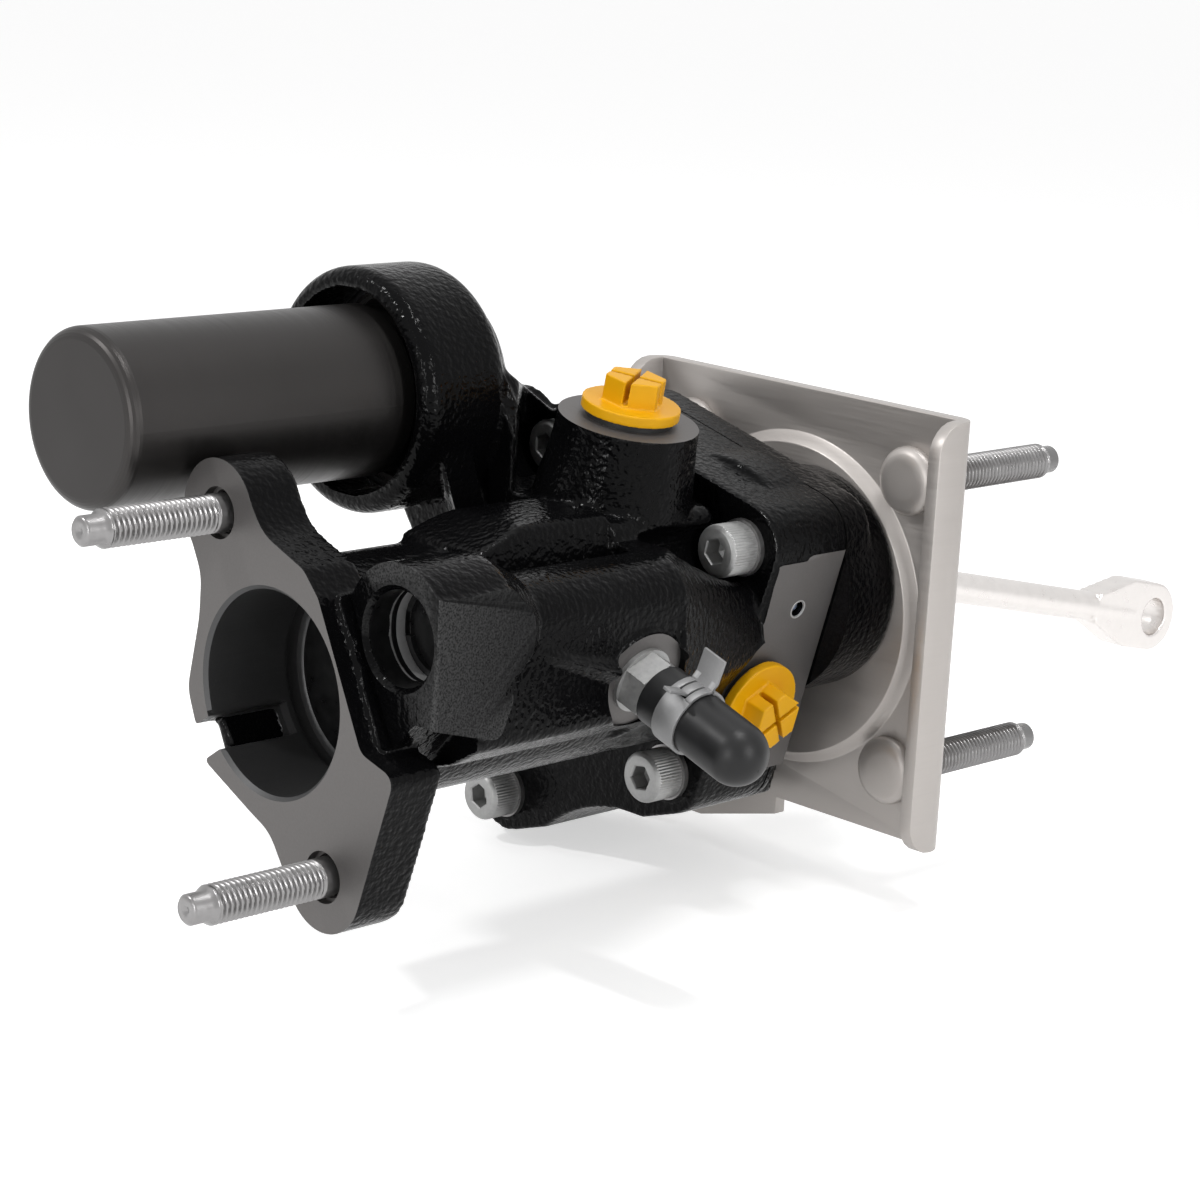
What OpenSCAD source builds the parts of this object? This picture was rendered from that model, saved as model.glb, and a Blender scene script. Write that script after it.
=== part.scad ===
// Hydraulic brake booster: firewall bracket at the back, master cylinder flange at the front.
// Origin: centre of the four firewall studs on the bracket's back face.
// +Y points to the pedal, -Y to the master cylinder, +Z is up, the line ports are on +X.

/* [Bracket] */
// Width of the bracket over its folded sides
plate_w = 119; // [112:1:130]
// Sheet thickness
plate_t = 4; // [3:0.5:5]
// Height of the plate above the centre
plate_top = 60.2; // [56:0.1:68]
// Depth of the plate below the centre on the port side
plate_low = 59.7; // [56:0.1:68]
// Extra depth of the plate on the accumulator side
skirt_drop = 12.7; // [6:0.1:18]
// Depth of the folded sides, measured from the back face
fold_depth = 15.5; // [12:0.5:20]
// Radius of the raised dish round the hub
dish_r = 47.5; // [44:0.5:49]
// Height of the raised dish
dish_h = 3; // [2:0.5:4]

/* [Firewall studs] */
// Spacing of the firewall studs, both ways
fw_pitch = 82; // [76:0.5:88]
// Outer diameter of the firewall studs
fw_stud_d = 9.86; // [8:0.01:12]
// Reach of the firewall studs behind the plate
fw_stud_reach = 56.5; // [40:0.5:70]
// Diameter of the stud heads
fw_head_d = 19; // [16:0.5:22]
// Height of the domed stud heads
fw_head_h = 4.2; // [3:0.1:6]

/* [Master cylinder flange] */
// Distance from the firewall face to the flange face
flange_reach = 191.2; // [180:0.1:215]
// Thickness of the flange
flange_t = 15.7; // [12:0.1:18]
// Pitch circle of the two master cylinder studs
mc_pcd = 92.7; // [90:0.1:98]
// Tilt of the stud pair from vertical
mc_tilt = 28.6; // [27:0.1:30]
// Outer diameter of the master cylinder studs
mc_stud_d = 9.86; // [8:0.01:11]
// Reach of the master cylinder studs in front of the flange
mc_stud_reach = 40.8; // [30:0.1:55]
// Radius of the flange ears
ear_r = 13.6; // [12.5:0.1:14.5]
// Diameter of the register bore
register_d = 51.2; // [49:0.1:52]
// Depth of the register bore
register_depth = 30; // [24:0.5:34]

/* [Power section] */
// Radius of the neck behind the flange
neck_r = 31.5; // [30.5:0.1:34]
// Radius of the power bore
bore_r = 20; // [18:0.1:21]
// Radial running clearance of pistons and rods
run = 0.05; // [0.02:0.01:0.08]
// Radius of the rear stem of the power piston
stem_r = 16.5; // [16:0.1:17]
// Radius of the output rod
out_rod_r = 5; // [4:0.1:6]
// Free way of the power piston
stroke = 36; // [30:1:36]

/* [Valve] */
// Sideways place of the valve bore
valve_x = 36.2; // [35.8:0.1:37]
// Height of the valve bore
valve_z = 20.3; // [19.8:0.1:21]
// Radius of the valve spool bore
valve_r = 7; // [6:0.1:7.5]
// Radius of the valve end bore that the plug closes
valve_mouth_r = 11.75; // [10:0.05:12]

/* [Accumulator] */
// Sideways place of the accumulator
acc_x = -55; // [-58:0.5:-54]
// Height of the accumulator
acc_z = 60; // [59:0.5:64]
// Outer radius of the accumulator can
can_r = 23; // [20:0.5:24]
// Wall of the accumulator can
can_wall = 2.5; // [1.5:0.1:4]
// Distance from the firewall face to the front of the can
can_reach = 210; // [195:1:225]
// Inner radius of the cup that holds the can
cup_bore_r = 27.6; // [26.5:0.1:28]
// Outer radius of the cup
cup_r = 33; // [32:0.5:36]
// Distance from the firewall face to the mouth of the cup
cup_reach = 124; // [120:1:130]

/* [Ports] */
// Tilt of the side ports below horizontal
port_tilt = 15; // [10:1:18]
// Tilt of the top boss towards the port side
boss_tilt = 10; // [4:1:12]
// Radius of the top boss at its machined face
boss_r = 18.5; // [17:0.5:20]
// Radius of the plug flanges
plug_flange_r = 13.1; // [12:0.1:14]
// Width over the plug heads
plug_head_d = 16.6; // [14:0.1:18]
// Radius of the port threads
port_r = 8.4; // [7:0.1:9]
// Radius of the rubber cap
cap_r = 8.15; // [7.6:0.05:9]
// Length of the rubber cap
cap_len = 36; // [30:1:42]

/* [Housing screws] */
// Thread diameter of the housing screws
screw_d = 8; // [6:0.5:8.5]
// Head diameter of the housing screws
screw_head_d = 14.3; // [13:0.1:15]
// Head height of the housing screws
screw_head_h = 9.5; // [8:0.1:11]
// Thickness of the screw washers
washer_t = 1.5; // [1:0.1:2.5]
// Radius of the lobes round the screws
lobe_r = 12; // [11:0.1:13]

/* [Pedal rod] */
// Diameter of the pedal rod
rod_d = 9.5; // [8:0.1:11]
// Radius of the rod's ball
ball_r = 6.6; // [6:0.1:7.2]
// Droop of the outer part of the rod
rod_droop = 12.4; // [8:0.1:16]
// Length from the bend to the eye
rod_len = 132; // [110:1:150]
// Diameter of the hole in the eye
eye_d = 12; // [9:0.1:13]
// Thickness of the eye
eye_t = 9; // [6:0.5:9]

/* [Hidden] */
$fn = 96;

eps = 0.01;

// Planes across the booster, as Y values
flange_y = -flange_reach;
flange_back_y = flange_y + flange_t;
seat_y = -54;
joint_y = -26;
lobe_back_y = -fold_depth - 0.5;
hub_y = -plate_t - dish_h;
gasket_t = 0.6;

// Register and power bore
register_end_y = flange_y + register_depth;
ring_groove_w = 3;
ring_groove_r = register_d/2 + 1.2;
seat_ring_t = 2;
bore_front_y = register_end_y + ring_groove_w + 1.5;

// Housing screws: the first is on the port side, then clockwise seen from the front
screw_at = [[26.5, 25.5], [4.2, -42.2], [-60, -64], [-58, -12], [-40, 42.3]];
screw_head_top_y = seat_y - washer_t - screw_head_h;
washer_r = screw_head_d/2 + 0.6;
screw_end_y = lobe_back_y - 2;

// Rear housing boss
rear_boss_at = [10, 9];
rear_boss_r = 31;
rear_flange_t = 2.5;
rear_side_k = 22;
chamber_r = 45;
snout_r = 20.5;
snout_y = 12;
nut_t = 7;
nut_r = 29;

// Pads on the port side
pad_k = 31.2;
fitting_k = 42.1;
valve_side_x = 46.5;
mouth_side_x = 50.6;
mouth_chamfer = 1.3;
fitting_tilt = 18;
side_plug_at = [-49, -9.7];
ball_plug_at = [-39.5, 16.9];
fitting_at = [-109, 15.6];
boss_at = [5, -78, 58.6];
ball_plug_r = 2.15;
ball_plug_sink = 1.2;

// Power piston along the bore
land_front_y = register_end_y + ring_groove_w + stroke + 1.2;
land_back_y = -106;
piston_back_y = 6;
spring_pocket_r = 13;
spring_pocket_y = land_front_y + 24;
spring_wire_r = 1.4;
spring_r = 11;
spring_turns = 7;
socket_r = ball_r + 0.1;
ball_y = -10;
seal_w = 4;
seal_d = 2.4;

// Valve along its bore
valve_mouth_y = -182.5;
valve_ring_y = valve_mouth_y + 12.5;
valve_ring_t = 1.6;
valve_floor_y = valve_mouth_y + 24;
valve_end_y = -94;
valve_boss_r = 18.5;
valve_wall = 4;
spool_land_r = valve_r - run;
spool_neck_r = valve_r - 2.3;
spool_front_y = valve_floor_y + 16;
valve_travel = 2.5;
lever_y = -102;
lever_w = 6;
lever_tip_r = 2.5;
tip_side = 32;
lever_angle = atan2(valve_z, valve_x);
valve_dist = norm([valve_x, valve_z]);
lever_pivot = (stem_r + valve_dist)/2 + 1;
lever_pin_l = 16;
pin_r = 2;

// Accumulator along its axis
can_front_y = -can_reach;
cup_y = -cup_reach;
cup_floor_y = cup_y + 23;
cup_back_y = cup_floor_y + 5;
can_foot_t = 5;
snap_t = 2;
acc_piston_y = cup_floor_y - 14;
acc_travel = 60;

// Helpers: solids are drawn in X and Z and pushed along Y
module prism(y0, y1) translate([0, y1, 0]) rotate([90, 0, 0]) linear_extrude(y1 - y0) children();
module rod_y(y0, y1, r, r_front = -1) {
  translate([0, y1, 0]) rotate([90, 0, 0])
    cylinder(h = y1 - y0, r1 = r, r2 = r_front < 0 ? r : r_front);
}
module turned() rotate([-90, 0, 0]) rotate_extrude(convexity = 6) children();
module at_xz(p) translate([p[0], 0, p[1]]) children();

function arc(c, r, a0, turn, n = 12) = [for (i = [0:n]) c + r*[cos(a0 + turn*i/n), sin(a0 + turn*i/n)]];

// Two circles and their outer tangents, as one outline
module link(a, ra, b, rb) {
  u = b - a;
  dir = atan2(u[1], u[0]);
  open_angle = acos((ra - rb)/norm(u));
  polygon(concat(arc(b, rb, dir + open_angle, -2*open_angle),
                 arc(a, ra, dir - open_angle, 2*open_angle - 360, 20)));
}

// Polygon with each corner rounded: every point is [x, y, radius]
function corner(p, q, r, n = 6) =
  let(a = [p[0] - q[0], p[1] - q[1]], b = [r[0] - q[0], r[1] - q[1]],
      ua = a/norm(a), ub = b/norm(b), half = acos(ua*ub)/2,
      m = (ua + ub)/norm(ua + ub), c = [q[0], q[1]] + m*q[2]/sin(half),
      s = [q[0], q[1]] + ua*q[2]/tan(half) - c, e = [q[0], q[1]] + ub*q[2]/tan(half) - c,
      a0 = atan2(s[1], s[0]), turn = (atan2(e[1], e[0]) - a0 + 540) % 360 - 180)
  q[2] <= 0 ? [[q[0], q[1]]] : [for (i = [0:n]) c + q[2]*[cos(a0 + turn*i/n), sin(a0 + turn*i/n)]];
function rounded(pts) =
  let(n = len(pts))
  [for (i = [0:n - 1]) each corner(pts[(i + n - 1) % n], pts[i], pts[(i + 1) % n])];

// Spring of round wire between two planes, with flat ends
module coil(y0, y1, r, wire_r, turns) {
  pitch = (y1 - y0)/turns;
  half = 360*wire_r/pitch;
  steps = 8;
  function side(k) = [for (i = [-steps/2:steps/2]) let(a = -k*half*sin(90*i/(steps/2)),
    t = wire_r*cos(90*i/(steps/2))) (r + k*t)*[cos(a), sin(a)]];
  translate([0, y1, 0]) rotate([90, 0, 0])
    linear_extrude(height = y1 - y0, twist = -360*turns, slices = 20*turns, $fn = 2*steps)
      polygon(concat(side(1), [for (q = side(-1)) if (norm(q - r*[cos(half), sin(half)]) > 0.01
        && norm(q - r*[cos(half), -sin(half)]) > 0.01) q]));
}

// Frames of the ports: +Z leaves the casting along the port
module side_port(at, tilt = port_tilt) {
  rotate([0, tilt, 0]) translate([0, at[0], at[1]]) rotate([0, 90, 0]) children();
}
module top_port() translate(boss_at) rotate([0, boss_tilt, 0]) children();
module bevel_rod(r, l, nose_r, nose_l) {
  bevel = r - nose_r;
  cylinder(h = l - nose_l - bevel, r = r);
  translate([0, 0, l - nose_l - bevel]) cylinder(h = bevel, r1 = r, r2 = nose_r);
  translate([0, 0, l - nose_l - eps]) cylinder(h = nose_l + eps, r = nose_r);
}

mc_stud_at = [for (s = [-1, 1]) mc_pcd/2*s*[sin(mc_tilt), -cos(mc_tilt)]];

// Bracket: plate, folded sides, raised dish and its five holes
fold_r = plate_t + 2;
fold_corner_r = 9;
module fold_profile() {
  hw = plate_w/2;
  difference() {
    union() {
      translate([-hw, -fold_depth]) square([plate_w, fold_depth - fold_r]);
      translate([-hw + fold_r, -fold_r - eps]) square([plate_w - 2*fold_r, fold_r + eps]);
      for (s = [-1, 1]) translate([s*(hw - fold_r), -fold_r]) circle(fold_r);
    }
    translate([-hw + plate_t, -fold_depth - 1]) square([plate_w - 2*plate_t, fold_depth + 1 - plate_t]);
  }
}
module side_profile(low) {
  rotate([90, 0, 90]) translate([0, 0, -plate_w]) linear_extrude(2*plate_w)
    polygon(rounded([[-fold_depth, low, fold_corner_r], [0, low, 0], [0, plate_top, 0],
                     [-fold_depth, plate_top, fold_corner_r]]));
}
module plate_outline() {
  hw = plate_w/2;
  polygon([[-hw, plate_top], [hw, plate_top], [hw, -plate_low], [hw/3.15, -plate_low],
           [-hw/2.03, -plate_low - skirt_drop], [-hw, -plate_low - skirt_drop]]);
}
module bracket() {
  color("silver") difference() {
    union() {
      intersection() {
        translate([0, 0, -2*plate_w]) linear_extrude(4*plate_w) fold_profile();
        prism(-fold_depth, 0) plate_outline();
        union() {
          intersection() {
            side_profile(-plate_low);
            translate([0, -fold_depth, -2*plate_w]) cube([plate_w, fold_depth, 4*plate_w]);
          }
          intersection() {
            side_profile(-plate_low - skirt_drop);
            translate([-plate_w, -fold_depth, -2*plate_w]) cube([plate_w + eps, fold_depth, 4*plate_w]);
          }
        }
      }
      rod_y(-plate_t - dish_h, -plate_t + eps, dish_r, dish_r - dish_h);
    }
    rod_y(-dish_h - eps, eps, dish_r - plate_t/2, dish_r - plate_t/2 - dish_h);
    rod_y(-plate_t - dish_h - 1, 1, snout_r + 0.2);
    for (x = [-1, 1], z = [-1, 1])
      translate([x*fw_pitch/2, 0, z*fw_pitch/2]) rod_y(-plate_t - 1, 1, fw_stud_d/2 + press_step);
  }
}

// Firewall studs: domed head in front of the plate, pressed shank in it, threaded shank behind it
stud_nose_l = 4;
press_step = 0.3;
module firewall_studs() {
  color("gainsboro") for (x = [-1, 1], z = [-1, 1]) translate([x*fw_pitch/2, 0, z*fw_pitch/2]) {
    turned() {
      r = fw_head_d/2;
      y = -plate_t;
      polygon([[0, y], [r, y], [r, y - fw_head_h*0.45], [r*0.94, y - fw_head_h*0.72],
               [r*0.78, y - fw_head_h*0.9], [r*0.5, y - fw_head_h*0.98], [0, y - fw_head_h]]);
    }
    translate([0, -plate_t, 0]) rotate([-90, 0, 0])
      bevel_rod(fw_stud_d/2, fw_stud_reach + plate_t, fw_stud_d/2 - 1.05, stud_nose_l);
    rod_y(-plate_t, 0, fw_stud_d/2 + press_step);
  }
}

// Master cylinder studs, pressed in from behind the flange
mc_head_r = 7.6;
mc_head_t = 5;
mc_relief_r = mc_stud_d/2 + 1.6;
mc_relief_depth = 2.5;
module master_cylinder_studs() {
  color("gainsboro") for (p = mc_stud_at) at_xz(p) {
    rod_y(flange_back_y, flange_back_y + mc_head_t, mc_head_r);
    rod_y(flange_y + mc_relief_depth, flange_back_y + eps, mc_stud_d/2 + press_step);
    translate([0, flange_back_y + eps, 0]) rotate([90, 0, 0])
      bevel_rod(mc_stud_d/2, flange_t + mc_stud_reach + eps, mc_stud_d/2 - 1.15, stud_nose_l + 1);
  }
}

// Master cylinder flange: two ears, a thin waist beside the valve and one square corner
module flange_outline() {
  hi = mc_stud_at[0];
  lo = mc_stud_at[1];
  translate(hi) circle(ear_r);
  translate(lo) circle(ear_r + 0.4);
  polygon(rounded([[hi[0], hi[1], 0], [hi[0] + 9.2, hi[1] + 9.8, 0], [-4.6, 38.9, 14], [11.2, 33.2, 5],
    [17, 27.4, 3], [34.6, -6.6, 4], [46.8, -9.8, 3.2], [lo[0] + 13.4, lo[1] - 4, 0], [lo[0], lo[1], 0],
    [lo[0] - 9.6, lo[1] - 9.9, 0], [1.4, -34.8, 12], [-6.4, -31.6, 0], [-24.4, -23.4, 3], [-28.6, -15.5, 0],
    [-32.6, -6, 9], [-28.6, 13, 30], [-28.2, 24, 12], [hi[0] - 13, hi[1] - 3.6, 0]]));
}

// Front housing: cast body with flange, neck, valve boss, top boss, accumulator cup and screw lobes
function side_angle(a, b) = atan2(b[0] - a[0], a[1] - b[1]);
function lobe(a, p, b, r) =
  let(a0 = side_angle(a, p)) arc(p, r, a0, (side_angle(p, b) - a0 + 540) % 360 - 180, 8);
module lobes_outline(r) {
  n = len(screw_at);
  polygon([for (i = [0:n - 1]) each lobe(screw_at[(i + n - 1) % n], screw_at[i], screw_at[(i + 1) % n], r)]);
}
module pad_side(k) rotate([0, port_tilt, 0]) translate([k, -300, -150]) cube([100, 400, 300]);
module all_but_pad(k) difference() {
  translate([-150, -200, -150]) cube([300, 300, 300]);
  pad_side(k);
}
module cast_flange() prism(flange_y, flange_back_y) flange_outline();
module cast_barrel() {
  rod_y(flange_back_y - eps, seat_y, neck_r);
  intersection() {
    prism(seat_y - eps, joint_y - gasket_t) lobes_outline(lobe_r);
    all_but_pad(pad_k);
  }
  intersection() {
    rod_y(-40, joint_y - gasket_t, chamber_r);
    all_but_pad(pad_k);
  }
}
module valve_section(x1, top, low) {
  polygon(rounded([[0, 30, 0], [21, top - 6, 3], [29, top - 1, 6], [x1, top, 11],
    [x1, low, 3], [x1 - 10, low - 6, 8], [24, -18, 8], [12, -28, 0], [0, -25, 0]]));
}
module cast_valve_body() {
  intersection() {
    union() {
      at_xz([valve_x, valve_z]) {
        rod_y(valve_mouth_y, -160, valve_boss_r);
        rod_y(-160 - eps, -148, valve_r + valve_wall + 1, valve_boss_r);
      }
      prism(valve_mouth_y, -162) polygon([[10, 28], [valve_x, valve_z + 6], [70, 10], [70, 2], [44, 2],
        [30, -14], [0, -20]]);
      // Cheek beside the mouth, with its own outline seen from the side
      rotate([90, 0, 90]) translate([0, 0, 28]) linear_extrude(60)
        polygon(rounded([[valve_mouth_y, 2, 0], [valve_mouth_y, 35, 3], [-170.5, 27.2, 6], [-160, 14, 6],
          [-157.5, 5, 3], [-161.5, -4.5, 3], [-171, -2, 5]]));
    }
    translate([-50, -200, -100]) cube([50 + mouth_side_x, 200, 200]);
  }
  prism(-165, -96) valve_section(valve_side_x + 0.7, valve_z + valve_r + valve_wall, -7.5);
  // The side falls away towards the pad
  hull() {
    prism(-97, -96) valve_section(valve_side_x + 0.7, valve_z + valve_r + valve_wall, -7.5);
    prism(-52, -51) valve_section(33.5, 14, -3);
  }
  // Round boss under the return fitting
  side_port(fitting_at, fitting_tilt) translate([0, 0, 15]) cylinder(h = fitting_k - 15 + 0.6, r = 13);
}
module cast_top_boss() {
  top_port() translate([0, 0, -40]) cylinder(h = 40, r1 = boss_r + 4.5, r2 = boss_r);
  // Saddle that carries the boss down to the barrel, and the ridge in front of it
  prism(-97, -60) polygon(rounded([[-26, 16, 0], [-21, 36, 8], [20, 36, 4], [24, 20, 0], [0, 10, 0]]));
  difference() {
    prism(-142, -60 - 2*boss_r + eps)
      polygon(rounded([[-12, 20, 0], [-9, 38, 5], [18.5, 38, 2.5], [21, 22, 0], [0, 10, 0]]));
    translate([-40, -142, 32.6]) rotate([20, 0, 0]) translate([0, -20, 0]) cube([80, 60, 40]);
  }
}
module cast_cup() {
  at_xz([acc_x, acc_z]) turned() polygon(concat(
    [[0, cup_y + 12], [0, -84], [16, -84], [26, -91]],
    [for (a = [60:-15:0]) [cup_r - 6 + 6*cos(a), cup_back_y - 3 + 6*sin(a) - 1]],
    [for (a = [0:15:90]) [cup_r - 4 + 4*cos(a), cup_y + 4 - 4*sin(a)]],
    [[cup_bore_r - 0.4, cup_y], [cup_bore_r - 0.4, cup_y + 12]]));
}
web_root = [-22, 12];
web_front_y = -98;
passage_at = [-50, 10];
module cast_web() {
  // Plate that falls back from the cup to the screw lobes
  hull() {
    prism(web_front_y, web_front_y + 9) link([-51, 57], 27, web_root, 24);
    prism(seat_y - 1, seat_y) link([-58, 42], 13, web_root, 20);
  }
  // Rectangular rib on the front of the web
  prism(web_front_y - 4, web_front_y + eps) polygon(rounded([[-50.5, 41.5, 1.5], [-38.5, 47.5, 1.5],
    [-27.5, 25.5, 1.5], [-39.5, 19.5, 1.5]]));
  // Passage below the cup with a rounded end
  prism(-88, seat_y) link(passage_at, 7.5, web_root, 14);
  at_xz(passage_at) {
    rod_y(-98, seat_y, 9);
    translate([0, -98, 0]) sphere(9);
  }
}
drain_w = 8.8;
drain_depth = 6;
module register_cuts() {
  rod_y(flange_y - 1, register_end_y, register_d/2);
  rod_y(flange_y - eps, flange_y + 1, register_d/2, register_d/2 + 1);
  rod_y(register_end_y - 4, register_end_y, ring_groove_r);
  rod_y(register_end_y - eps, bore_front_y + eps, register_d/2 - 1.6);
  // Drain slot: through the wall at the flange face, a groove behind it
  rotate([0, 145, 0]) {
    translate([register_d/2 - 8, flange_y - 1, -drain_w/2]) cube([30, drain_depth + 1, drain_w]);
    translate([register_d/2 - 8, flange_y - 1, -drain_w/2]) cube([11.5, register_depth*0.8, drain_w]);
  }
}
module valve_cuts() {
  at_xz([valve_x, valve_z]) {
    rod_y(flange_y - 1, valve_mouth_y, valve_mouth_r + mouth_chamfer);
    rod_y(valve_mouth_y - eps, valve_mouth_y + mouth_chamfer, valve_mouth_r, valve_mouth_r + mouth_chamfer);
    rod_y(valve_mouth_y, valve_floor_y, valve_mouth_r);
    rod_y(valve_ring_y, valve_ring_y + valve_ring_t, valve_mouth_r + 1.15);
    rod_y(valve_ring_y - 4.4, valve_ring_y - 2.8, valve_mouth_r + 1.15);
    rod_y(valve_floor_y - eps, valve_end_y, valve_r);
  }
  // Chamber of the valve lever, from the power bore to the valve bore
  rotate([0, -lever_angle, 0])
    translate([0, lever_y - 8, -lever_w/2 - 0.8]) cube([valve_dist + 4, 15, lever_w + 1.6]);
  rotate([0, -lever_angle, 0]) translate([lever_pivot, lever_y, -lever_pin_l/2])
    cylinder(h = lever_pin_l, r = pin_r);
}
module accumulator_cuts() {
  at_xz([acc_x, acc_z]) {
    rod_y(cup_y - 1, cup_floor_y, cup_bore_r);
    rod_y(cup_floor_y - can_foot_t - snap_t, cup_floor_y - can_foot_t, cup_bore_r + 1.2);
    rod_y(cup_floor_y - eps, cup_floor_y + 8, 4);
  }
}
module front_housing() {
  color("#1c1c1d") difference() {
    union() {
      cast_flange();
      cast_barrel();
      cast_valve_body();
      cast_top_boss();
      cast_cup();
      cast_web();
    }
    register_cuts();
    rod_y(register_end_y - eps, joint_y + 1, bore_r);
    for (p = mc_stud_at) at_xz(p) {
      rod_y(flange_y - 1, flange_back_y + 1, mc_stud_d/2 + press_step);
      rod_y(flange_y - 1, flange_y + mc_relief_depth, mc_relief_r);
      rod_y(flange_back_y, flange_back_y + 14, mc_head_r + 1.2);
    }
    valve_cuts();
    accumulator_cuts();
    // Free way for the screw heads, and the screw holes
    for (p = screw_at) at_xz(p) {
      rod_y(seat_y - 34, seat_y, washer_r + 1);
      rod_y(seat_y - 1, joint_y + 1, screw_d/2);
    }
    // Spotface of the fitting, thread holes of the ports
    side_port(fitting_at, fitting_tilt) {
      translate([0, 0, fitting_k]) cylinder(h = 40, r = 11.5);
      translate([0, 0, fitting_k - 10]) cylinder(h = 11, r = 5);
    }
    side_port(side_plug_at) {
      translate([0, 0, pad_k]) cylinder(h = 40, r = plug_flange_r + 2.4);
      translate([0, 0, pad_k - 12]) cylinder(h = 13, r = port_r);
    }
    side_port(ball_plug_at) translate([0, 0, pad_k - ball_plug_sink - 2*ball_plug_r])
      cylinder(h = 2*ball_plug_r + 3, r = ball_plug_r);
    top_port() translate([0, 0, -14]) cylinder(h = 15, r = port_r);
  }
}

// Rear housing: joint flange, eccentric boss, threaded snout through the bracket
module rear_housing() {
  color("#1c1c1d") difference() {
    union() {
      difference() {
        prism(joint_y, lobe_back_y) lobes_outline(lobe_r);
        // Beside the boss the port side is cut back to a thin flange
        rotate([0, port_tilt, 0]) translate([rear_side_k, joint_y + rear_flange_t, -150])
          cube([100, 40, 160]);
      }
      at_xz(rear_boss_at) rod_y(joint_y, hub_y, rear_boss_r);
      rod_y(joint_y, snout_y, snout_r);
    }
    rod_y(joint_y - 1, joint_y + 6, bore_r);
    rod_y(joint_y, snout_y + 1, stem_r + run);
    rod_y(hub_y - 8, hub_y - 8 + seal_w, stem_r + seal_d);
    for (p = screw_at) at_xz(p) rod_y(joint_y - 1, screw_end_y, screw_d/2);
  }
}

// Thin gasket between the two housings
module joint_gasket() {
  color("#3a3a38") difference() {
    intersection() {
      prism(joint_y - gasket_t, joint_y) lobes_outline(lobe_r - 0.6);
      all_but_pad(pad_k - 0.6);
    }
    rod_y(joint_y - 1, joint_y + 1, bore_r);
    for (p = screw_at) at_xz(p) rod_y(joint_y - 1, joint_y + 1, screw_d/2);
  }
}

// Socket head screws and their washers
module housing_screws() {
  color("dimgray") for (p = screw_at) at_xz(p) difference() {
    union() {
      turned() polygon([[0, screw_head_top_y], [screw_head_d/2 - 0.9, screw_head_top_y],
        [screw_head_d/2, screw_head_top_y + 0.9], [screw_head_d/2, seat_y - washer_t], [0, seat_y - washer_t]]);
      rod_y(seat_y - washer_t - eps, screw_end_y, screw_d/2);
    }
    translate([0, screw_head_top_y + 4.6, 0]) rotate([90, 0, 0]) cylinder(h = 6, r = 3.5, $fn = 6);
  }
}
module screw_washers() {
  color("silver") for (p = screw_at) at_xz(p) difference() {
    rod_y(seat_y - washer_t, seat_y, washer_r);
    rod_y(seat_y - 3, seat_y + 1, screw_d/2);
  }
}

// Nut that clamps the bracket to the snout, behind the dish
module hub_nut() {
  color("gray") difference() {
    translate([0, -dish_h + nut_t, 0]) rotate([90, 0, 0]) cylinder(h = nut_t, r = nut_r, $fn = 6);
    rod_y(-dish_h - 1, -dish_h + nut_t + 1, snout_r);
  }
}

// Accumulator
module accumulator_can() {
  color("#3b3836") at_xz([acc_x, acc_z]) turned() {
    edge = 3.2;
    inner = can_r - can_wall;
    polygon(concat(
      [[0, can_front_y]],
      [for (a = [90:-15:0]) [can_r - edge + edge*cos(a), can_front_y + edge - edge*sin(a)]],
      [[can_r, cup_y + 4], [can_r - 0.7, cup_y + 5], [can_r - 0.7, cup_floor_y - can_foot_t - 4],
       [can_r + 2, cup_floor_y - can_foot_t], [cup_bore_r, cup_floor_y - can_foot_t],
       [cup_bore_r, cup_floor_y], [inner + 2.6, cup_floor_y], [inner + 2.6, cup_floor_y - 2.4],
       [inner, cup_floor_y - 2.4],
       [inner, can_front_y + can_wall + 2], [inner - 2, can_front_y + can_wall], [0, can_front_y + can_wall]]));
  }
}
module accumulator_seal() {
  color("#202020") at_xz([acc_x, acc_z]) difference() {
    rod_y(cup_floor_y - 2.4, cup_floor_y, can_r - can_wall + 2.6);
    rod_y(cup_floor_y - 3, cup_floor_y + 1, can_r - can_wall);
  }
}
module accumulator_snap_ring() {
  y1 = cup_floor_y - can_foot_t;
  color("gray") at_xz([acc_x, acc_z]) difference() {
    rod_y(y1 - snap_t, y1, cup_bore_r + 1.2);
    rod_y(y1 - snap_t - 1, y1 + 1, cup_bore_r - 1.3);
    translate([0, y1 - snap_t - 1, -4]) cube([40, snap_t + 2, 8]);
  }
}
module accumulator_piston() {
  r = can_r - can_wall - run;
  color("silver") at_xz([acc_x, acc_z]) difference() {
    rod_y(acc_piston_y - 14, acc_piston_y, r);
    rod_y(acc_piston_y - 15, acc_piston_y - 4, r - 4);
    difference() {
      rod_y(acc_piston_y - 9, acc_piston_y - 9 + seal_w, r + 1);
      rod_y(acc_piston_y - 10, acc_piston_y, r - seal_d);
    }
  }
}
module accumulator_piston_seal() {
  r = can_r - can_wall - run;
  color("#202020") at_xz([acc_x, acc_z]) difference() {
    rod_y(acc_piston_y - 9, acc_piston_y - 9 + seal_w, r);
    rod_y(acc_piston_y - 10, acc_piston_y, r - seal_d);
  }
}

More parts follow.
